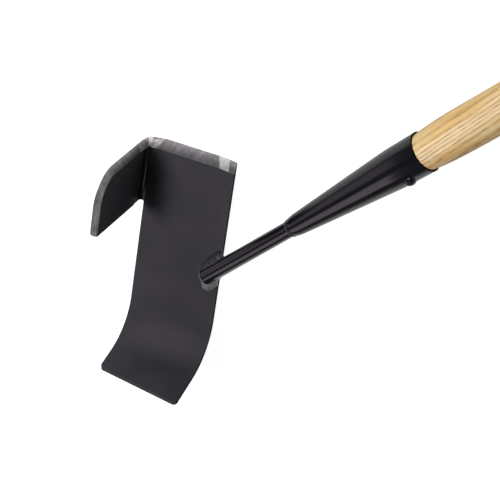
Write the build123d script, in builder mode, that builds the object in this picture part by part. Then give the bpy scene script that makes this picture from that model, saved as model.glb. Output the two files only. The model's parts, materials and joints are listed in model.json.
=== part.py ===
"""A draw hoe: a folded steel blade with ground edges, a round shank, a socket and an ash handle.

The tool lies on the plane Z = 0 as it rests on a bench: on its handle, with the blade's sharpened
edge down on the bench and the blade's working face up. +X points along the handle to its butt.
"""

import os
from math import asin, copysign, cos, degrees, radians, sin

from build123d import *

os.makedirs("parts", exist_ok=True)

# Handle, and where it and the shank's foot lie, in millimetres and degrees
handle_radius = 18.25
handle_length = 1400.0
butt_rounding = 12.0
handle_y = -29.6
foot_x = -714.4

# Blade: across runs along the sharpened edge, and edgeward runs up to that edge
sheet = 4.0
plate_width = 76.8
plate_flat = 157.0
plate_corner = 2.5
bend_radius = 39.5
bend_angle = 74.4
end_short = 23.5
end_long = 34.7
end_corner = 3.5
edge_bevel = 9.4
edge_land = 0.35
edge_turn = 47.0
edge_tilt = 4.0

# The sharpened edge drops at both ends: by how much, over what length, and how wide it is ground
fold_drop = 1.9
fold_drop_length = 12.0
fold_drop_bevel = 8.3
corner_drop = 1.3
corner_drop_length = 11.0

# Wing, folded up from the plate's left side, with its edge ground on the inside
fold_radius = 3.5
fold_angle = 88.4
wing_top = -4.8
wing_bottom = -61.8
wing_reach = 82.2
wing_corner = 28.0
wing_tip = 8.0
wing_bevel = 6.5
relief_radius = 2.6
relief_drop = 1.6

# Ground flats round the fold: how low each starts and ends on the outside, and lies on the inside
flat_levels = (-1.9, -3.6, -5.2, -5.7)
flat_inner_levels = (-9.2, -10.6, -11.6)

# Shank: a round bar whose foot is laid on the plate at this place
shank_radius = 7.0
foot_across = 66.3
foot_edgeward = -111.1
foot_chamfer = 1.0

# Weld beads: where each side bead starts and ends along the shank, and how far out it reaches
upper_bead = (0.0, 30.0, 12.8)
lower_bead = (-9.0, 20.0, 13.4)
bead_height = 1.0
bead_depth = 9.2
foot_bead_radius = 12.0
foot_bead_height = 4.5

# Socket, its stations measured along the handle's axis from the shank's foot
neck_start = 103.0
shoulder_end = 119.0
shank_end = 134.0
cone_end = 220.0
mouth = 252.0
neck_radius = 7.9
shoulder_radius = 9.9
cone_radius = 17.1
mouth_radius = 17.6
wall = 1.2

# Handle's seat in the socket, and the rivet through both
seat_start = 140.0
waist_end = 310.0
rivet_place = 231.5
rivet_angle = 135.5
rivet_radius = 2.5
rivet_gap = 0.05
head_radius = 5.2
head_height = 3.6
tail_radius = 4.4
tail_height = 1.8

# The sharpened edge is level, and the plate climbs away from it
turn = radians(edge_turn)
tilt = radians(edge_tilt)
across = Vector(cos(turn), -sin(turn), 0)
normal = Vector(sin(turn) * sin(tilt), cos(turn) * sin(tilt), cos(tilt))
edgeward = normal.cross(across)

# The foot is on the handle's axis, and the corner of the plate under the fold follows from it
foot = Vector(foot_x, handle_y, handle_radius)
foot_rise = (handle_radius + foot_edgeward * sin(tilt)) / cos(tilt)
corner = foot - across * foot_across - edgeward * foot_edgeward - normal * foot_rise

# Working planes and axes: the plate's back, its side, the fold and the handle's axis
plate_view = Plane(origin=corner, x_dir=across, z_dir=normal)
side_view = Plane(origin=corner, x_dir=edgeward, z_dir=across)
fold_axis = Axis(corner + normal * (sheet + fold_radius), edgeward)
axis_view = Plane(origin=foot, x_dir=(1, 0, 0), z_dir=(0, -1, 0))
shank_view = Plane(origin=foot, x_dir=(0, 1, 0), z_dir=(1, 0, 0))
handle_axis = Axis(foot, (1, 0, 0))

# Wing: a flat with one large round corner, ground along its top, corner and end. It stands a
# little short of square to the plate, and its height is measured from the end of the fold.
fold = radians(fold_angle)
wing_up = normal * sin(fold) - across * cos(fold)
wing_out = -across * sin(fold) - normal * cos(fold)
wing_view = Plane(
    origin=fold_axis.position + wing_out * fold_radius, x_dir=wing_up, z_dir=wing_out
)
with BuildPart() as wing:
    with BuildSketch(wing_view):
        with BuildLine():
            top = Line((0, wing_top), (wing_reach - wing_corner, wing_top))
            round_corner = JernArc(top @ 1, (1, 0), wing_corner, -90)
            end = Line(round_corner @ 1, (wing_reach, wing_bottom))
            bottom = Line(end @ 1, (0, wing_bottom))
            Line(bottom @ 1, top @ 0)
        make_face()
    extrude(amount=sheet)
    inner_face = wing.faces().sort_by(Axis(corner, across))[-1]
    ground_edges = inner_face.edges().sort_by(Axis(corner, wing_up + edgeward))[-3:]
    chamfer(ground_edges, wing_bevel, sheet - edge_land, reference=inner_face)
    with BuildSketch(wing_view):
        with Locations((wing_reach - wing_tip / 2, wing_bottom + wing_tip / 2)):
            Rectangle(wing_tip, wing_tip)
        with Locations((wing_reach - wing_tip, wing_bottom + wing_tip)):
            Circle(wing_tip, mode=Mode.SUBTRACT)
    extrude(amount=sheet, mode=Mode.SUBTRACT)

# Fold: the sheet turned up from the plate's side to the wing, in short steps, each with its own
# ground flat across the end
fold_parts = []
for step, (first, last) in enumerate(zip(flat_levels, flat_levels[1:])):
    step_angle = fold_angle / len(flat_inner_levels)
    angles = [radians(step_angle * (step + part)) for part in (0, 0.5, 1)]
    outward = [-normal * cos(angle) - across * sin(angle) for angle in angles]
    outer = sheet + fold_radius - edge_land
    start_point = fold_axis.position + outward[0] * outer + edgeward * first
    end_point = fold_axis.position + outward[2] * outer + edgeward * last
    inner_point = fold_axis.position + outward[1] * fold_radius + edgeward * flat_inner_levels[step]
    flat_normal = (inner_point - start_point).cross(end_point - start_point)
    flat_normal = flat_normal * copysign(1, flat_normal.dot(edgeward))
    step_view = Plane(
        origin=fold_axis.position + outward[0] * (sheet + fold_radius),
        x_dir=edgeward,
        z_dir=across * cos(angles[0]) - normal * sin(angles[0]),
    )
    with BuildPart() as fold_part:
        with BuildSketch(step_view):
            with Locations(((wing_bottom - fold_drop) / 2, sheet / 2)):
                Rectangle(-fold_drop - wing_bottom, sheet)
        revolve(axis=fold_axis, revolution_arc=step_angle)
        split(bisect_by=Plane(origin=start_point, z_dir=flat_normal), keep=Keep.BOTTOM)
    fold_parts.append(fold_part.part)

# Blade: the plate and its curved end from one side profile, with the fold and the wing
with BuildPart() as blade:
    with BuildSketch(side_view):
        with BuildLine():
            back = Line((0, 0), (-plate_flat, 0))
            back_bend = JernArc(back @ 1, (-1, 0), bend_radius + sheet, -bend_angle)
            back_end = Line(back_bend @ 1, (back_bend @ 1) + (back_bend % 1) * end_long)
            front = Line((0, sheet), (-plate_flat, sheet))
            front_bend = JernArc(front @ 1, (-1, 0), bend_radius, -bend_angle)
            front_end = Line(front_bend @ 1, (front_bend @ 1) + (front_bend % 1) * end_long)
            Line(back @ 0, front @ 0)
            Line(back_end @ 1, front_end @ 1)
        make_face()
    extrude(amount=plate_width)
    fillet(
        blade.edges().filter_by(Axis(corner, normal)).sort_by(Axis(corner, across + edgeward))[-1:],
        plate_corner,
    )

    # The curved end is cut on the skew, and its two corners are rounded
    bend = radians(bend_angle)
    end_face = edgeward * sin(bend) + normal * cos(bend)
    end_run = normal * sin(bend) - edgeward * cos(bend)
    bend_centre = corner - edgeward * plate_flat + normal * (bend_radius + sheet)
    end_origin = bend_centre - end_face * (bend_radius + sheet)
    end_view = Plane(origin=end_origin, x_dir=across, z_dir=-end_face)
    with BuildSketch(end_view):
        with BuildLine():
            Polyline(
                (0, end_short),
                (plate_width, end_long),
                (plate_width, 2 * end_long),
                (0, 2 * end_long),
                close=True,
            )
        make_face()
    extrude(amount=-sheet, mode=Mode.SUBTRACT)
    fillet(
        blade.edges().filter_by(Axis(corner, end_face)).sort_by(Axis(corner, end_run))[-2:],
        end_corner,
    )

    # Ground bevel along the plate's edge, and one along the drop at each end of it
    grinds = (
        (0, 0, plate_width, 0, edge_bevel),
        (0, -fold_drop, fold_drop_length, 0, fold_drop_bevel),
        (plate_width - corner_drop_length, 0, plate_width, -corner_drop, edge_bevel),
    )
    for start, start_level, end, end_level, bevel in grinds:
        run = across * (end - start) + edgeward * (end_level - start_level)
        along = run.normalized()
        grind_origin = corner + across * start + edgeward * start_level
        grind_view = Plane(origin=grind_origin, x_dir=normal.cross(along), z_dir=along)
        with BuildSketch(grind_view.offset(-1)):
            with BuildLine():
                Polyline(
                    (-bevel, sheet),
                    (0, edge_land),
                    (0, -sheet),
                    (2 * sheet, -sheet),
                    (2 * sheet, sheet),
                    close=True,
                )
            make_face()
        extrude(amount=run.length + 2, mode=Mode.SUBTRACT)

    # Fold and wing
    for fold_piece in fold_parts:
        add(fold_piece)
    add(wing.part)

    # Rounded relief where the wing's lower edge meets the plate's side
    with BuildSketch(plate_view):
        with Locations((-relief_radius, wing_bottom - relief_drop)):
            Circle(relief_radius)
    extrude(amount=4 * sheet, mode=Mode.SUBTRACT)
blade.part.label = "blade"
export_step(blade.part, "parts/blade.step")

# Shank: the bar, flattened a little where its foot sits on the plate
with BuildPart() as shank:
    with BuildSketch(shank_view):
        Circle(shank_radius)
    extrude(amount=shank_end)
    chamfer(shank.faces().sort_by(Axis.X)[0].edges(), foot_chamfer)
    add(blade.part, mode=Mode.SUBTRACT)
shank.part.label = "shank"
export_step(shank.part, "parts/shank.step")

# Weld beads: one on each side of the shank, ending just past the plate's side, and one at its foot
past_side = Plane(origin=corner + across * (plate_width + 1), x_dir=edgeward, z_dir=across)

side_beads = {"weld_upper": (1, *upper_bead), "weld_lower": (-1, *lower_bead)}
for bead_name, (side, start, end, reach) in side_beads.items():
    with BuildPart() as bead:
        with BuildSketch(shank_view.offset(start)):
            with BuildLine():
                crown = (side * shank_radius, bead_height)
                bulge = (side * (reach + shank_radius) / 1.9, -shank_radius / 2.4)
                root = Line((0, bead_height), (0, -bead_depth))
                base = Line(root @ 1, (side * reach, -bead_depth))
                toe = Line(base @ 1, (side * reach, -shank_radius))
                ThreePointArc(toe @ 1, bulge, crown)
                Line(crown, root @ 0)
            make_face()
        extrude(amount=end - start)
        split(bisect_by=past_side, keep=Keep.BOTTOM)
        add(blade.part, mode=Mode.SUBTRACT)
        add(shank.part, mode=Mode.SUBTRACT)
    bead.part.label = bead_name
    export_step(bead.part, f"parts/{bead_name}.step")

foot_on_plate = foot - normal * (foot_rise - sheet)
with BuildPart() as weld_foot:
    with BuildSketch(Plane(origin=foot_on_plate, x_dir=across, z_dir=normal)):
        Circle(foot_bead_radius)
    extrude(amount=foot_bead_height, taper=45)
    split(bisect_by=shank_view, keep=Keep.BOTTOM)
    add(bead.part, mode=Mode.SUBTRACT)
    add(blade.part, mode=Mode.SUBTRACT)
weld_foot.part.label = "weld_foot"
export_step(weld_foot.part, "parts/weld_foot.step")

# Socket: a steel cone with a rounded shoulder at the shank and a nearly straight mouth
rivet_line = Vector(0, cos(radians(rivet_angle)), sin(radians(rivet_angle)))
rivet_centre = foot + Vector(rivet_place, 0, 0)
rivet_section = Plane(origin=rivet_centre, z_dir=rivet_line)
with BuildPart() as socket:
    with BuildSketch(axis_view):
        with BuildLine():
            neck = Line((neck_start, shank_radius), (neck_start, neck_radius))
            shoulder = Spline(
                neck @ 1,
                (shoulder_end, shoulder_radius),
                tangents=[(1, 0.45), (1, 0.075)],
            )
            cone = Line(shoulder @ 1, (cone_end, cone_radius))
            collar = Line(cone @ 1, (mouth, mouth_radius))
            rim = Line(collar @ 1, (mouth, mouth_radius - wall))
            seat = Line(rim @ 1, (cone_end, cone_radius - wall))
            hollow = Line(seat @ 1, (shank_end, shank_radius))
            Line(hollow @ 1, neck @ 0)
        make_face()
    revolve(axis=handle_axis)
    with BuildSketch(rivet_section):
        Circle(rivet_radius + rivet_gap)
    extrude(amount=2 * mouth_radius, both=True, mode=Mode.SUBTRACT)
socket.part.label = "socket"
export_step(socket.part, "parts/socket.step")

# Handle: a tapered seat in the socket, a short waist, then a plain round to the rounded butt
butt = seat_start + handle_length
seat_slope = (cone_radius - wall - shank_radius) / (cone_end - shank_end)
seat_radius = shank_radius + seat_slope * (seat_start - shank_end)
with BuildPart() as handle:
    with BuildSketch(axis_view):
        with BuildLine():
            start = Line((seat_start, 0), (seat_start, seat_radius))
            taper = Line(start @ 1, (cone_end, cone_radius - wall))
            tail = Line(taper @ 1, (mouth, mouth_radius - wall))
            waist = Bezier(
                tail @ 1,
                (mouth + 14, mouth_radius - wall + 1.4),
                (mouth + 26, handle_radius),
                (waist_end, handle_radius),
            )
            grip = Line(waist @ 1, (butt - butt_rounding, handle_radius))
            heel = JernArc(grip @ 1, (1, 0), butt_rounding, -90)
            Polyline(heel @ 1, (butt, 0), start @ 0)
        make_face()
    revolve(axis=handle_axis)
    with BuildSketch(rivet_section):
        Circle(rivet_radius + rivet_gap)
    extrude(amount=2 * mouth_radius, both=True, mode=Mode.SUBTRACT)
handle.part.label = "handle"
export_step(handle.part, "parts/handle.step")


def cap_arc(radius, height):
    """Radius and swept angle of the arc from the top of a cap down to its rim, clockwise."""
    sphere = (radius**2 + height**2) / (2 * abs(height))
    return sphere, -copysign(degrees(asin(radius / sphere)), height)


# Rivet: a pin right through, with a domed head on one side and a flatter tail on the other
seat_level = cone_radius + (rivet_place - cone_end) * (mouth_radius - cone_radius) / (mouth - cone_end)
rivet_side = Plane(origin=rivet_centre, x_dir=(1, 0, 0), z_dir=rivet_line.cross(Vector(1, 0, 0)) * -1)
with BuildPart() as rivet:
    with BuildSketch(rivet_side):
        with BuildLine():
            dome = JernArc((0, seat_level + head_height), (1, 0), *cap_arc(head_radius, head_height))
            skirt = Polyline(dome @ 1, (head_radius, seat_level - 1), (rivet_radius, seat_level - 1))
            pin = Line(skirt @ 1, (rivet_radius, 1 - seat_level))
            peen = Polyline(pin @ 1, (tail_radius, 1 - seat_level), (tail_radius, -seat_level))
            tail_dome = JernArc(
                (0, -seat_level - tail_height), (1, 0), *cap_arc(tail_radius, -tail_height)
            )
            Line(tail_dome @ 0, dome @ 0)
        make_face()
    revolve(axis=Axis(rivet_centre, rivet_line))
    add(socket.part, mode=Mode.SUBTRACT)
rivet.part.label = "rivet"
export_step(rivet.part, "parts/rivet.step")
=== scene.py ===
"""Looks of a draw hoe: painted steel with ground edges, weld beads and an ash handle, on a pale floor."""

import json
from math import asin, cos, pi, radians, sin, tan

import bmesh
import bpy
from mathutils import Matrix, Vector, noise

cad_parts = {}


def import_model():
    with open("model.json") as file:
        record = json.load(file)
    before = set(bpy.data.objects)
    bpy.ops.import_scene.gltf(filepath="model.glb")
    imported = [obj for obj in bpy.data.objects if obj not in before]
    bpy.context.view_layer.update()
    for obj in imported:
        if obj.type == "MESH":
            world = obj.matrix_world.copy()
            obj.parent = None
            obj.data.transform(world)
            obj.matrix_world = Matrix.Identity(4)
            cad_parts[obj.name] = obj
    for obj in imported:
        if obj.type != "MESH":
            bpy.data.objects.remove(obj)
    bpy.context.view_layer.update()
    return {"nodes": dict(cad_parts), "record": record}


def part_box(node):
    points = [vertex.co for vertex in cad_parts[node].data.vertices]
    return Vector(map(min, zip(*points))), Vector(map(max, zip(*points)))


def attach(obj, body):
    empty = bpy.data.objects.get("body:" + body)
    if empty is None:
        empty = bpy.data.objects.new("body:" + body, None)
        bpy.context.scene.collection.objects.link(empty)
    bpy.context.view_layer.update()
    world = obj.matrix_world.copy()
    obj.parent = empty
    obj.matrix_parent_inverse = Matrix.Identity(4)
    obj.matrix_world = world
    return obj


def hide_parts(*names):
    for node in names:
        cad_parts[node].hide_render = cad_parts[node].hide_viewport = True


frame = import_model()
mounts = {mount["name"]: mount for mount in frame["record"]["mounts"]}
MM = 0.001

# The handle's axis, and the blade's own directions: across its edge, towards it, and off its face
grip = mounts["grip"]
axis_y, axis_z = grip["pos_m"][1], grip["pos_m"][2]
foot = Vector((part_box("shank")[0].x, axis_y, axis_z))
normal = -Vector(mounts["blade_back"]["axis"])
across = normal.cross(Vector((0, 0, 1))).normalized()
edgeward = normal.cross(across)


# Meshes


def finish_mesh(name, mesh, node, materials):
    """Makes a mesh into a piece that stands for a CAD node."""
    piece = bpy.data.objects.new(name, mesh)
    bpy.context.scene.collection.objects.link(piece)
    for material in materials:
        mesh.materials.append(material)
    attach(piece, "root")
    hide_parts(node)
    return piece


def grid_mesh(name, rows, closed_rows, capped=True):
    """A smooth closed skin over rows of points. Closed rows join end to end, and unless told otherwise
    the two end rows are capped."""
    bm = bmesh.new()
    rings = [[bm.verts.new(point) for point in row] for row in rows]
    count = len(rows[0])
    for lower, upper in zip(rings, rings[1:]):
        for i in range(count if closed_rows else count - 1):
            j = (i + 1) % count
            bm.faces.new((lower[i], lower[j], upper[j], upper[i]))
    for ring in (rings[0], rings[-1]) if capped else ():
        bm.faces.new(ring)
    bmesh.ops.remove_doubles(bm, verts=bm.verts, dist=1e-7)
    bmesh.ops.recalc_face_normals(bm, faces=bm.faces)
    mesh = bpy.data.meshes.new(name)
    bm.to_mesh(mesh)
    bm.free()
    mesh.shade_smooth()
    return mesh


def turned(name, profile, base, direction, segments=96, capped=True):
    """A skin turned about a line through base. The profile lists (distance along the line, radius)."""
    turn = direction.to_track_quat("Z", "Y").to_matrix()
    rows = []
    for along, radius in profile:
        angles = [2 * pi * i / segments for i in range(segments)]
        rows.append(
            [base + turn @ Vector((radius * cos(a), radius * sin(a), along)) for a in angles]
        )
    mesh = grid_mesh(name, rows, True, capped)
    mesh.set_sharp_from_angle(angle=radians(40))
    return mesh


def arc(centre, radius, start, end, steps):
    """Points on an arc in a profile, with angles in degrees from the direction along the line."""
    turns = [radians(start + (end - start) * i / steps) for i in range(steps + 1)]
    return [(centre[0] + radius * cos(t), centre[1] + radius * sin(t)) for t in turns]


# Materials


def tree_of(name):
    """A new material with its node tree and its shader."""
    material = bpy.data.materials.new(name)
    material.use_nodes = True
    return material, material.node_tree, material.node_tree.nodes["Principled BSDF"]


def add(tree, kind, inputs=None, **settings):
    """A node whose inputs are values or the outputs of other nodes."""
    made = tree.nodes.new("ShaderNode" + kind)
    for key, value in settings.items():
        setattr(made, key, value)
    for key, value in (inputs or {}).items():
        if isinstance(value, bpy.types.NodeSocket):
            tree.links.new(value, made.inputs[key])
        else:
            made.inputs[key].default_value = value
    return made


def ramp(tree, factor, stops):
    """A colour ramp's output, from (place, grey or colour) stops."""
    made = add(tree, "ValToRGB", {"Fac": factor})
    elements = made.color_ramp.elements
    while len(elements) < len(stops):
        elements.new(0.5)
    for element, (place, colour) in zip(elements, stops):
        element.position = place
        grey = isinstance(colour, (int, float))
        element.color = (colour, colour, colour, 1) if grey else (*colour, 1)
    return made.outputs["Color"]


def scaled(tree, vector, scale):
    """A vector stretched along each axis, so that a pattern read from it is finer there."""
    return add(tree, "Mapping", {"Vector": vector, "Scale": scale}).outputs["Vector"]


def paint_material(name, dark, light, rough, specular):
    """Black paint: a slight orange peel, uneven gloss and a few dust nibs."""
    material, tree, shader = tree_of(name)
    place = add(tree, "TexCoord").outputs["Object"]
    cloud = add(tree, "TexNoise", {"Vector": place, "Scale": 34.0, "Detail": 4.0}).outputs["Fac"]
    peel = add(tree, "TexNoise", {"Vector": place, "Scale": 620.0, "Detail": 2.0}).outputs["Fac"]
    dust = add(tree, "TexVoronoi", {"Vector": place, "Scale": 95.0}).outputs["Distance"]
    nib = ramp(tree, dust, [(0.0, 1.0), (0.055, 0.0)])
    shade = ramp(tree, cloud, [(0.3, dark), (0.7, light)])
    gloss = ramp(tree, cloud, [(0.25, rough[0]), (0.75, rough[1])])
    skin = add(tree, "Bump", {"Height": peel, "Strength": 0.35, "Distance": 0.00003})
    bumps = add(
        tree, "Bump", {"Height": nib, "Strength": 0.5, "Distance": 0.00006, "Normal": skin.outputs[0]}
    )
    tree.links.new(shade, shader.inputs["Base Color"])
    tree.links.new(gloss, shader.inputs["Roughness"])
    tree.links.new(bumps.outputs["Normal"], shader.inputs["Normal"])
    shader.inputs["IOR"].default_value = 1.52
    shader.inputs["Specular IOR Level"].default_value = specular
    return material


def steel_material(name, shades, rough, metallic):
    """Bare ground steel: streaks run across the cutting edge, over mottled grey."""
    material, tree, shader = tree_of(name)
    along = add(tree, "UVMap", uv_map="grind").outputs["UV"]
    place = add(tree, "TexCoord").outputs["Object"]
    streak = add(
        tree,
        "TexNoise",
        {"Vector": scaled(tree, along, (1900, 160, 1)), "Scale": 1.0, "Detail": 5.0, "Roughness": 0.65},
    ).outputs["Fac"]
    passes = add(
        tree,
        "TexNoise",
        {"Vector": scaled(tree, along, (210, 60, 1)), "Scale": 1.0, "Detail": 2.0},
    ).outputs["Fac"]
    mottle = add(tree, "TexNoise", {"Vector": place, "Scale": 260.0, "Detail": 4.0}).outputs["Fac"]
    mixed = add(tree, "Math", {0: streak, 1: passes}, operation="ADD").outputs[0]
    both = add(tree, "Math", {0: mixed, 1: mottle}, operation="ADD").outputs[0]
    part = add(tree, "Math", {0: both, 1: 1 / 3}, operation="MULTIPLY").outputs[0]
    shade = ramp(tree, part, list(zip((0.36, 0.52, 0.66), shades)))
    gloss = ramp(tree, part, [(0.35, rough[0]), (0.65, rough[1])])
    bumps = add(tree, "Bump", {"Height": mixed, "Strength": 0.5, "Distance": 0.00006})
    tree.links.new(shade, shader.inputs["Base Color"])
    tree.links.new(gloss, shader.inputs["Roughness"])
    tree.links.new(bumps.outputs["Normal"], shader.inputs["Normal"])
    shader.inputs["Metallic"].default_value = metallic
    return material


def mixed_colour(tree, factor, first, second, **settings):
    """A mix of two colours, each a value or another node's output."""
    made = add(tree, "Mix", data_type="RGBA", **settings)
    for place, value in ((0, factor), (6, first), (7, second)):
        if isinstance(value, bpy.types.NodeSocket):
            tree.links.new(value, made.inputs[place])
        else:
            made.inputs[place].default_value = value
    return made.outputs[2]


def maths(tree, operation, first, second=0.0):
    """The result of one sum on values or on the outputs of nodes."""
    return add(tree, "Math", {0: first, 1: second}, operation=operation).outputs[0]


def ash_material():
    """Pale ash. Growth rings run nearly edge on to the tool's upper side, close set in the middle and
    broad at the sides, each with a line of open pores. The grain leans a little across the handle."""
    material, tree, shader = tree_of("ash_wood")
    place = add(tree, "TexCoord").outputs["Object"]
    wander = add(
        tree, "TexNoise", {"Vector": scaled(tree, place, (7, 30, 30)), "Scale": 1.0, "Detail": 3.0}
    ).outputs["Fac"]
    fibre = add(
        tree, "TexNoise", {"Vector": scaled(tree, place, (40, 1700, 1700)), "Scale": 1.0, "Detail": 4.0}
    ).outputs["Fac"]
    pores = add(
        tree, "TexNoise", {"Vector": scaled(tree, place, (120, 1200, 1200)), "Scale": 1.0, "Detail": 2.0}
    ).outputs["Fac"]
    tone = add(
        tree, "TexNoise", {"Vector": scaled(tree, place, (16, 210, 210)), "Scale": 1.0, "Detail": 3.0}
    ).outputs["Fac"]
    ring_normal = Vector((0, 0.976, -0.216))
    centred = add(tree, "VectorMath", {0: place, 1: foot}, operation="SUBTRACT").outputs[0]
    level = add(tree, "VectorMath", {0: centred, 1: ring_normal}, operation="DOT_PRODUCT").outputs["Value"]
    run = add(tree, "SeparateXYZ", {"Vector": centred}).outputs["X"]
    sway = maths(tree, "SINE", maths(tree, "MULTIPLY", maths(tree, "SUBTRACT", run, 0.3), 6.0))
    drift = maths(tree, "MULTIPLY", sway, 0.011)
    ripple = maths(tree, "MULTIPLY", maths(tree, "SUBTRACT", wander, 0.5), 0.004)
    shifted = maths(tree, "ADD", maths(tree, "SUBTRACT", level, drift), ripple)
    middle = maths(tree, "MULTIPLY", maths(tree, "TANH", maths(tree, "MULTIPLY", shifted, 140.0)), 1.8)
    rings = maths(tree, "ADD", middle, maths(tree, "MULTIPLY", shifted, 130.0))
    year = maths(tree, "FRACT", rings)
    early = ramp(tree, year, [(0.0, 0.0), (0.12, 1.0), (0.34, 0.8), (0.50, 0.0), (1.0, 0.0)])
    spread = maths(tree, "POWER", maths(tree, "MULTIPLY", shifted, 115.0), 2.0)
    # The grain's figure is the wood's own; the lighter cream latewood down the middle of the side facing the
    # camera, and the golden tone towards both sides, are painted shading
    centre = ramp(tree, spread, [(0.25, 1.0), (0.85, 0.0)])
    pored = ramp(tree, pores, [(0.45, 0.0), (0.58, 1.0)])
    cream = ramp(tree, tone, [(0.35, (0.76, 0.55, 0.30)), (0.65, (0.90, 0.71, 0.46))])
    golds = [(0.34, (0.66, 0.38, 0.12)), (0.5, (0.76, 0.51, 0.21)), (0.64, (0.78, 0.58, 0.30))]
    golden = ramp(tree, tone, golds)
    late = mixed_colour(tree, centre, golden, cream)
    dark = mixed_colour(tree, centre, (0.60, 0.36, 0.12, 1), (0.52, 0.31, 0.11, 1))
    banded = mixed_colour(tree, maths(tree, "MULTIPLY", early, 0.42), late, dark)
    pit = maths(tree, "MULTIPLY", early, pored)
    pitted = mixed_colour(tree, maths(tree, "MULTIPLY", pit, 0.7), banded, (0.34, 0.19, 0.06, 1))
    fibres = ramp(tree, fibre, [(0.3, 0.84), (0.7, 1.06)])
    grained = mixed_colour(tree, 1.0, pitted, fibres, blend_type="MULTIPLY")
    height = maths(tree, "SUBTRACT", fibre, pit)
    bumps = add(tree, "Bump", {"Height": height, "Strength": 0.35, "Distance": 0.00008})
    tree.links.new(grained, shader.inputs["Base Color"])
    tree.links.new(ramp(tree, fibre, [(0.3, 0.60), (0.7, 0.46)]), shader.inputs["Roughness"])
    tree.links.new(bumps.outputs["Normal"], shader.inputs["Normal"])
    return material


satin = paint_material("satin_black_paint", (0.033, 0.031, 0.037), (0.041, 0.038, 0.045), (0.46, 0.54), 0.12)
gloss = paint_material(
    "gloss_black_paint", (0.0042, 0.0039, 0.0062), (0.0058, 0.0054, 0.0080), (0.15, 0.21), 0.5
)
weld = paint_material("weld_black_paint", (0.020, 0.018, 0.022), (0.034, 0.031, 0.036), (0.22, 0.32), 0.5)
# Rough black paint for cut rims and the blade's sheared sides; on the blade's sides its colour, far darker
# than the satin beside it, is painted shade
dull = paint_material("dull_black_paint", (0.004, 0.004, 0.005), (0.007, 0.007, 0.009), (0.60, 0.75), 0.06)
steel = steel_material("ground_steel", (0.20, 0.32, 0.46), (0.50, 0.34), 0.88)
# A lighter, less metallic copy of the ground steel: painted highlight on the facets near the right corner
# and by the fold
highlit_steel = steel_material("ground_steel_painted_highlight", (0.38, 0.56, 0.76), (0.42, 0.26), 0.50)
# A lighter copy of the weld paint: painted highlight on the lower bead and on the rims at the bar's foot and
# the socket's neck
highlit_weld_paint = paint_material("weld_paint_painted_highlight", (0.085, 0.080, 0.088), (0.150, 0.145, 0.155), (0.24, 0.34), 0.5)
ash = ash_material()

# Blade: the CAD sheet with its arrises eased, in paint, and bare where it was ground

SHEET = 4 * MM
PLATE_WIDTH = 76.8 * MM
FOLD_TURN = radians(88.4)
FOLD_RADIUS = 3.5 * MM
ARRIS = 0.35 * MM
GROUND_DEPTH = 13 * MM
# The bevel's width; the spans across the blade near its right corner, and the height up the wing from the
# fold, that take a lighter copy of the ground steel as painted highlight
EDGE_BEVEL = 9.4 * MM
HIGHLIT_SPANS = ((60 * MM, 63.5 * MM), (70 * MM, 71.5 * MM))
HIGHLIT_WING = 6 * MM
# Paint and steel slots of the blade's faces
PAINT, GROUND, HIGHLIT_GROUND, FOLD, SHADED_SIDE = range(5)
wing_up = normal * sin(FOLD_TURN) - across * cos(FOLD_TURN)
wing_in = across * sin(FOLD_TURN) + normal * cos(FOLD_TURN)


def region_of(faces):
    """The faces with their edges and corners, as a cut needs them."""
    edges = {edge for face in faces for edge in face.edges}
    corners = {corner for face in faces for corner in face.verts}
    return list(set(faces) | edges | corners)


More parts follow.
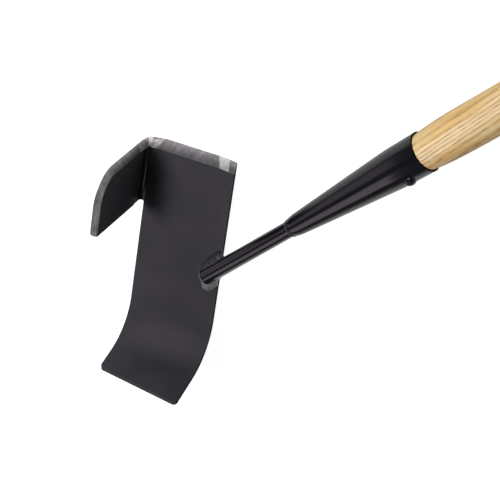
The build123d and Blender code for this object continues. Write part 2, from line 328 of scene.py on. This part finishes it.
def blade_piece():
    """The blade: the CAD sheet, split where a lighter copy of the ground steel is laid as painted highlight,
    in paint and bare steel.
    """
    bm = bmesh.new()
    bm.from_mesh(frame["nodes"]["blade"].data)
    bmesh.ops.remove_doubles(bm, verts=bm.verts, dist=1e-6)
    bmesh.ops.dissolve_limit(
        bm, angle_limit=radians(0.4), verts=bm.verts, edges=bm.edges, delimit=set()
    )
    edge_level = max(v.co.dot(edgeward) for v in bm.verts)
    back_level = min(v.co.dot(normal) for v in bm.verts)
    fold_across = max(v.co.dot(across) for v in bm.verts) - PLATE_WIDTH
    fold_up = back_level + SHEET + FOLD_RADIUS

    def place_of(point):
        """Across from the fold, up from the fold's middle, and towards the edge from the edge."""
        return (
            point.dot(across) - fold_across,
            point.dot(normal) - fold_up,
            point.dot(edgeward) - edge_level,
        )

    def is_ground(face):
        """Whether a face was ground bare: the edge's bevel, or the wing's own bevel and thin land."""
        side, up, edge = place_of(face.calc_center_median())
        if side > 0 or up < 0:
            low = min(place_of(v.co)[2] for v in face.verts)
            return face.normal.dot(edgeward) > 0.25 and low > -GROUND_DEPTH
        facing = face.normal.dot(wing_in)
        outermost = max(v.co.dot(wing_in) for v in face.verts)
        thin = outermost - min(v.co.dot(wing_in) for v in face.verts) < 0.6 * MM
        return 0.55 < facing < 0.965 or (thin and abs(facing) < 0.2)

    bm.normal_update()
    ground = [face for face in bm.faces if is_ground(face)]
    main = [face for face in ground if place_of(face.calc_center_median())[0] > 20 * MM]
    # Cut the main bevel where the spans of painted highlight start and end
    for outer, inner in HIGHLIT_SPANS:
        # A plane square to the plate, through one point on the edge and one on the paint's line
        run = edgeward * -EDGE_BEVEL + across * (inner - outer)
        start = across * (fold_across + outer) + edgeward * edge_level + normal * back_level
        square = run.cross(normal).normalized()
        bmesh.ops.bisect_plane(bm, geom=region_of(main), plane_co=start, plane_no=square, dist=1e-6)
        bm.normal_update()
        ground = [face for face in bm.faces if is_ground(face)]
        main = [face for face in ground if place_of(face.calc_center_median())[0] > 20 * MM]
    wing_ground = [face for face in ground if place_of(face.calc_center_median())[1] > 0]
    wing_top = [face for face in wing_ground if face.normal.dot(edgeward) > 0.2]
    # Cut the wing's top bevel where the painted highlight by the fold ends
    start = normal * (back_level + SHEET + FOLD_RADIUS) + wing_up * HIGHLIT_WING
    start += across * (fold_across - start.dot(across)) + edgeward * (edge_level - 5 * MM)
    lean = (wing_up + edgeward * 0.35).normalized()
    bmesh.ops.bisect_plane(bm, geom=region_of(wing_top), plane_co=start, plane_no=lean, dist=1e-6)
    bm.normal_update()
    ground = [face for face in bm.faces if is_ground(face)]
    grind = bm.loops.layers.uv.new("grind")
    for face in bm.faces:
        side, up, edge = place_of(face.calc_center_median())
        inside_fold = side < 0 and up < 0 and face.normal.dot(across * -side - normal * up) > 0
        # The plate's sheared sides take the rough paint, rougher for real and darker as painted shade
        plate_side = side > 0 and abs(face.normal.dot(across)) > 0.9
        face.material_index = FOLD if inside_fold else SHADED_SIDE if plate_side else PAINT
        for loop in face.loops:
            point = loop.vert.co
            loop[grind].uv = (point.dot(across) + point.dot(wing_up), point.dot(edgeward))
    # Ground faces in those spans, and on the wing by the fold, take the lighter steel as painted highlight
    for face in ground:
        side, up, edge = place_of(face.calc_center_median())
        highlit = HIGHLIT_SPANS[0][0] < side - (edge * -0.3) < HIGHLIT_SPANS[1][0] and face.calc_area() > 10 * MM**2
        middle = face.calc_center_median()
        on_wing = side < 0 and (middle - start).dot(lean) < 0
        face.material_index = HIGHLIT_GROUND if highlit or on_wing else GROUND
    mesh = bpy.data.meshes.new("blade_sheet")
    bm.to_mesh(mesh)
    bm.free()
    mesh.shade_smooth()
    skins = [satin, steel, highlit_steel, gloss, dull]
    piece = finish_mesh("blade_sheet", mesh, "blade", skins)
    eased = piece.modifiers.new("eased_arrises", "BEVEL")
    eased.width = ARRIS
    eased.segments = 3
    eased.limit_method = "ANGLE"
    eased.angle_limit = radians(35)
    eased.harden_normals = True
    return piece


blade_piece()

# Shank, socket, rivet and handle, turned about the handle's axis

ALONG = Vector((1, 0, 0))
BAR_RADIUS = 7 * MM


def shank_piece():
    """The bar, with a thin rolled lip where the weld ran over its foot."""
    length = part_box("shank")[1].x - foot.x
    lip = 0.7 * MM
    profile = [(0, 0), (0, BAR_RADIUS - 1.2 * MM)]
    profile += arc((lip, BAR_RADIUS - lip), lip, 180, 60, 10)
    profile += [(1.6 * MM, BAR_RADIUS - 0.25 * MM), (2.3 * MM, BAR_RADIUS)]
    profile += [(length, BAR_RADIUS), (length, 0)]
    mesh = turned("shank_bar", profile, foot, ALONG)
    piece = finish_mesh("shank_bar", mesh, "shank", [gloss, highlit_weld_paint])
    # The lip at the bar's foot takes the lighter weld paint, a painted highlight
    for face in mesh.polygons:
        if face.center.x < foot.x + 1.2 * MM:
            face.material_index = 1
    return piece


shank_piece()

SEAT_START = 140 * MM
CONE_END = 220 * MM
MOUTH = 252 * MM
WAIST_END = 310 * MM
NECK_START = 103 * MM
NECK_RADIUS = 7.9 * MM
SHOULDER = (119 * MM, 9.9 * MM)
CONE_RADIUS = 17.1 * MM
MOUTH_RADIUS = 17.6 * MM
WALL = 1.2 * MM
HANDLE_RADIUS = 18.25 * MM
BUTT_ROUNDING = 12 * MM
SEAT_RADIUS = 7.62 * MM
SEAT_GAP = 0.35 * MM


def curve(points, steps):
    """Points on a cubic through a profile, from its four control points."""
    made = []
    for i in range(steps + 1):
        t = i / steps
        weights = ((1 - t) ** 3, 3 * t * (1 - t) ** 2, 3 * t * t * (1 - t), t**3)
        made.append(tuple(sum(w * p[k] for w, p in zip(weights, points)) for k in (0, 1)))
    return made


def socket_piece():
    """The socket's skin: a rolled rim at the neck, the shoulder, the cone, and the mouth's eased rim."""
    inner = 7.02 * MM
    profile = [(NECK_START + 12 * MM, inner), (NECK_START + 0.1 * MM, inner)]
    profile += arc((NECK_START + 0.8 * MM, NECK_RADIUS - 0.55 * MM), 0.8 * MM, 185, 55, 12)
    shoulder_start = (NECK_START + 1.7 * MM, NECK_RADIUS + 0.05 * MM)
    profile += curve(
        (
            shoulder_start,
            (shoulder_start[0] + 5 * MM, shoulder_start[1] + 1.5 * MM),
            (SHOULDER[0] - 5 * MM, SHOULDER[1] - 0.4 * MM),
            SHOULDER,
        ),
        16,
    )
    profile += curve(
        (
            (CONE_END - 6 * MM, CONE_RADIUS - 0.43 * MM),
            (CONE_END - 2 * MM, CONE_RADIUS - 0.13 * MM),
            (CONE_END + 2 * MM, CONE_RADIUS + 0.03 * MM),
            (CONE_END + 6 * MM, CONE_RADIUS + 0.09 * MM),
        ),
        8,
    )
    profile += arc((MOUTH - 0.35 * MM, MOUTH_RADIUS - 0.35 * MM), 0.35 * MM, 90, 0, 6)
    profile += arc((MOUTH - 0.35 * MM, MOUTH_RADIUS - WALL + 0.35 * MM), 0.35 * MM, 0, -90, 6)
    profile += [(CONE_END, CONE_RADIUS - WALL), (CONE_END - 40 * MM, CONE_RADIUS - WALL - 4.3 * MM)]
    profile += [(NECK_START + 12 * MM, inner)]
    mesh = turned("socket_skin", profile, foot, ALONG, segments=160, capped=False)
    piece = finish_mesh("socket_skin", mesh, "socket", [gloss, dull, highlit_weld_paint])
    # Faces at the mouth take the rough paint; the rim at the neck takes the lighter weld paint, a painted
    # highlight
    for face in mesh.polygons:
        place = face.center.x - foot.x
        if place > MOUTH - 0.45 * MM:
            face.material_index = 1
        elif NECK_START + 0.1 * MM < place < NECK_START + 0.75 * MM:
            face.material_index = 2
    return piece


def handle_piece():
    """The handle's skin: the seat in the socket, the waist, the straight grip and the rounded butt."""
    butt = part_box("handle")[1].x - foot.x
    rounding = BUTT_ROUNDING
    seat = MOUTH_RADIUS - WALL - SEAT_GAP
    profile = [(SEAT_START, 0), (SEAT_START, SEAT_RADIUS - SEAT_GAP)]
    profile += [(CONE_END, CONE_RADIUS - WALL - SEAT_GAP), (MOUTH - 2 * MM, seat)]
    profile += curve(
        (
            (MOUTH, seat),
            (MOUTH + 14 * MM, seat + 1.4 * MM),
            (MOUTH + 26 * MM, HANDLE_RADIUS),
            (WAIST_END, HANDLE_RADIUS),
        ),
        24,
    )
    profile += arc((butt - rounding, HANDLE_RADIUS - rounding), rounding, 90, 0, 20)
    profile += [(butt, 0)]
    mesh = turned("ash_handle", profile, foot, ALONG, segments=160)
    return finish_mesh("ash_handle", mesh, "handle", [ash])


RIVET_TURN = radians(135.5)
RIVET_SEAT = 17.28 * MM
PIN_RADIUS = 2.5 * MM
HEAD_RADIUS = 5.2 * MM
TAIL_RADIUS = 4.4 * MM


def rivet_piece():
    """The rivet: a domed head, a pin through the socket and the handle, and a flatter tail."""
    low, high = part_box("rivet")
    middle = Vector(((low.x + high.x) / 2, foot.y, foot.z))
    line = Vector((0, cos(RIVET_TURN), sin(RIVET_TURN)))
    seat = RIVET_SEAT
    sunk = seat - 1 * MM

    def cap(radius, height, level):
        """A dome's profile, from its rim at this level to its top."""
        sphere = (radius**2 + height**2) / (2 * height)
        half = asin(radius / sphere)
        return [
            (level + height - sphere + sphere * cos(half * i / 12), sphere * sin(half * i / 12))
            for i in range(12, -1, -1)
        ]

    head = cap(HEAD_RADIUS, 3.0 * MM, seat + 0.5 * MM)
    tail = [(-distance, radius) for distance, radius in cap(4.3 * MM, 1.6 * MM, seat + 0.15 * MM)][::-1]
    profile = tail + [(-seat, TAIL_RADIUS), (-sunk, TAIL_RADIUS), (-sunk, PIN_RADIUS)]
    profile += [(sunk, PIN_RADIUS), (sunk, HEAD_RADIUS)] + head
    mesh = turned("rivet_pin", profile, middle, line, segments=64)
    return finish_mesh("rivet_pin", mesh, "rivet", [gloss])


socket_piece()
handle_piece()
rivet_piece()

# Weld beads, laid in overlapping ripples from the bar down to the plate

face_point = Vector(mounts["blade_back"]["pos_m"]) + normal * SHEET
side_limit = face_point.dot(across) + 38.8 * MM


def face_level(x, y):
    """Height of the plate's front face over a point of the floor."""
    fall = (x - face_point.x) * normal.x + (y - face_point.y) * normal.y
    return face_point.z - fall / normal.z


def lumps(x, y, z, size):
    """Even noise whose lumps are about this size."""
    return noise.noise(Vector((x, y, z)) / size)


def side_bead(name, node, side, start, end, reach, lump, fades, hump_height, paint):
    """A bead along one side of the bar. It dies out at both ends, and where it runs past the plate's
    side it draws in towards the bar."""
    rows = []
    steps, skin, under = 150, 26, 8
    for i in range(steps + 1):
        x = start + (end - start) * i / steps
        fade = min(1, (x - start) / fades[0], (end - x) / fades[1])
        grow = max(0.03, (1 - (1 - fade) ** 2) ** 0.5)
        bar_x = foot.x + x
        wide = min(reach[1], reach[0] + (reach[1] - reach[0]) * (x - start) / (14 * MM))
        wide += 0.7 * MM * lumps(x, side, 0, 4 * MM)
        edge_y = foot.y + side * wide
        over = bar_x * across.x + edge_y * across.y - side_limit
        if side < 0 and over > 0:
            wide -= over / abs(across.y)
        wide = max(wide, 5.2 * MM)
        root = Vector((bar_x, foot.y + side * 5.0 * MM, foot.z - 5.4 * MM))
        crown = Vector((bar_x, foot.y + side * BAR_RADIUS * cos(0.2), foot.z + BAR_RADIUS * sin(0.2)))
        toe = Vector((bar_x, foot.y + side * wide, 0))
        toe.z = face_level(toe.x, toe.y) - 0.15 * MM
        crown, toe = root.lerp(crown, grow), root.lerp(toe, grow)
        chord = (toe - crown).normalized()
        out = Vector((0, -chord.z * side, chord.y * side)) * side
        out = out if out.y * side > 0 else -out
        row = []
        for j in range(skin + 1):
            t = j / skin
            point = crown.lerp(toe, t)
            hump = 4 * t * (1 - t)
            wave = sin(2 * pi * (x / (4.1 * MM) + 0.6 * hump) + 2.2 * lumps(x, t, 1, 5 * MM)) * 0.16 * MM
            wave += lump * noise.noise(Vector((x / (3.2 * MM), t * 3.1, side)))
            wave += 0.35 * lump * noise.noise(Vector((x / (1.1 * MM), t * 8.0, side)))
            row.append(point + out * grow * (hump_height * hump + wave * min(1, hump * 1.6)))
        inside = Vector((bar_x, foot.y + side * 2.5 * MM, foot.z - 3.0 * MM))
        below = toe + Vector((0, -side * 0.4, -1)) * 0.8 * MM * grow
        for j in range(under):
            row.append(below.lerp(inside, j / (under - 1)))
        rows.append(row)
    mesh = grid_mesh(name, rows, True)
    mesh.set_sharp_from_angle(angle=radians(60))
    return finish_mesh(name, mesh, node, [paint])


def foot_bead(name, node):
    """The bead across the bar's foot: half a ring of low steps, from the bar's end down to the plate."""
    rows = []
    turns, skin = 72, 26
    for i in range(turns + 1):
        around = radians(90 + 180 * i / turns)
        reach = 8.4 * MM + 0.8 * MM * noise.noise(Vector((cos(around) * 2, sin(around) * 2, 5)))
        row = []
        for j in range(skin + 1):
            t = j / skin
            radius = 1.0 * MM + (reach - 1.0 * MM) * t
            x = foot.x + 0.4 * MM + radius * cos(around)
            y = foot.y + radius * sin(around) * 1.12
            height = 4.6 * MM * (1 - t) ** 1.1 + 0.28 * MM * sin(2 * pi * t * 3.2) * (1 - t)
            height += 0.3 * MM * noise.noise(Vector((x, y, 0)) / (1.7 * MM)) * min(1, 5 * (1 - t))
            row.append(Vector((x, y, face_level(x, y) + height - 0.1 * MM)))
        for j in range(8):
            radius = reach - (reach - 1.0 * MM) * j / 7
            x = foot.x + 0.4 * MM + radius * cos(around)
            y = foot.y + radius * sin(around) * 1.12
            row.append(Vector((x, y, face_level(x, y) - 0.6 * MM)))
        rows.append(row)
    mesh = grid_mesh(name, rows, True)
    mesh.set_sharp_from_angle(angle=radians(60))
    return finish_mesh(name, mesh, node, [weld])


reach = (8.6 * MM, 12.6 * MM)
fades = (1.5 * MM, 4 * MM)
side_bead("bead_upper", "weld_upper", 1, 0.2 * MM, 26 * MM, reach, 0.5 * MM, fades, 0.9 * MM, weld)
reach = (13.6 * MM, 13.8 * MM)
fades = (2 * MM, 4 * MM)
# The lower bead takes the lighter weld paint, a painted highlight
side_bead("bead_lower", "weld_lower", -1, -8.9 * MM, 16.5 * MM, reach, 0.8 * MM, fades, 1.7 * MM, highlit_weld_paint)
foot_bead("bead_foot", "weld_foot")

# Floor, lights and camera


def floor_piece():
    """A pale floor that glows, so it stays white, and lends the tool no light and no reflection."""
    size = 6.0
    mesh = bpy.data.meshes.new("floor")
    corners = [(-size, -size, 0), (size, -size, 0), (size, size, 0), (-size, size, 0)]
    mesh.from_pydata(corners, [], [(0, 1, 2, 3)])
    floor = bpy.data.objects.new("floor", mesh)
    bpy.context.scene.collection.objects.link(floor)
    material, tree, shader = tree_of("pale_floor")
    shader.inputs["Base Color"].default_value = (0.25, 0.25, 0.25, 1)
    shader.inputs["Roughness"].default_value = 0.9
    shader.inputs["Specular IOR Level"].default_value = 0.0
    shader.inputs["Emission Color"].default_value = (1, 1, 1, 1)
    shader.inputs["Emission Strength"].default_value = 0.98
    mesh.materials.append(material)
    floor.visible_diffuse = False
    floor.visible_glossy = False


def lamp(name, turns, leans, distance, radiance, glossy=True, tint=(1, 1, 1)):
    """A flat soft lamp beside the handle. It spans these angles about the handle's axis, counted from
    +Y up over the tool, and these leans along it, and its face looks this bright."""
    middle = radians(sum(turns) / 2)
    towards = Vector((0, cos(middle), sin(middle)))
    start, end = (distance * tan(radians(lean)) for lean in leans)
    data = bpy.data.lights.new(name, "AREA")
    data.shape = "RECTANGLE"
    data.size = end - start
    data.size_y = 2 * distance * tan(radians(turns[1] - turns[0]) / 2)
    data.energy = radiance * pi * data.size * data.size_y
    data.color = tint
    made = bpy.data.objects.new(name, data)
    bpy.context.scene.collection.objects.link(made)
    turn = Matrix((ALONG, towards.cross(ALONG), towards)).transposed().to_4x4()
    place = foot + towards * distance + ALONG * (start + end) / 2
    made.matrix_world = Matrix.Translation(place) @ turn
    made.visible_camera = False
    made.visible_glossy = glossy
    made.visible_diffuse = not glossy


def camera_piece():
    """The camera, set by the point it looks at, its distance and its angles."""
    azimuth, elevation, roll = radians(106.582), radians(52.156), radians(140.368)
    distance = 2.0322
    aim = foot + Vector((56.13, 1.06, 0)) * MM
    back = Vector((sin(azimuth) * cos(elevation), -cos(azimuth) * cos(elevation), sin(elevation)))
    level_up = (Vector((0, 0, 1)) - back * back.z).normalized()
    level_right = level_up.cross(back)
    up = level_up * cos(roll) + level_right * sin(roll)
    right = up.cross(back)
    data = bpy.data.cameras.new("camera")
    data.lens = 175.289
    data.sensor_width = 36.0
    data.clip_end = 50
    camera = bpy.data.objects.new("camera", data)
    bpy.context.scene.collection.objects.link(camera)
    turn = Matrix((right, up, back)).transposed().to_4x4()
    camera.matrix_world = Matrix.Translation(aim + back * distance) @ turn
    bpy.context.scene.camera = camera


def world():
    """Pale near the horizon and dim overhead, where the lamps hang."""
    sky = bpy.data.worlds.new("studio")
    sky.use_nodes = True
    tree = sky.node_tree
    up = add(tree, "TexCoord").outputs["Generated"]
    height = add(tree, "SeparateXYZ", {"Vector": up}).outputs["Z"]
    shade = ramp(tree, height, [(0.0, 0.78), (0.05, 0.30), (0.3, 0.05)])
    tree.links.new(shade, tree.nodes["Background"].inputs["Color"])
    bpy.context.scene.world = sky
    bpy.context.scene.view_settings.view_transform = "Standard"


floor_piece()
lamp("key", (62, 74), (-9.6, 2.4), 2.2, 78.0, glossy=False)
lamp("strip_left", (20, 62), (-60, -28), 2.2, 0.6, tint=(1.0, 0.86, 0.97))
lamp("strip_right", (93, 137), (-60, -32), 2.2, 1.4, tint=(1.0, 0.87, 0.98))
lamp("side_left", (8, 58), (5, 40), 2.2, 2.8, tint=(1.0, 0.9, 1.0))
lamp("glint_corner", (58, 78), (10, 24), 2.2, 1.1)
lamp("glint_fold", (116, 140), (-9, 7), 2.2, 1.5)
camera_piece()
world()
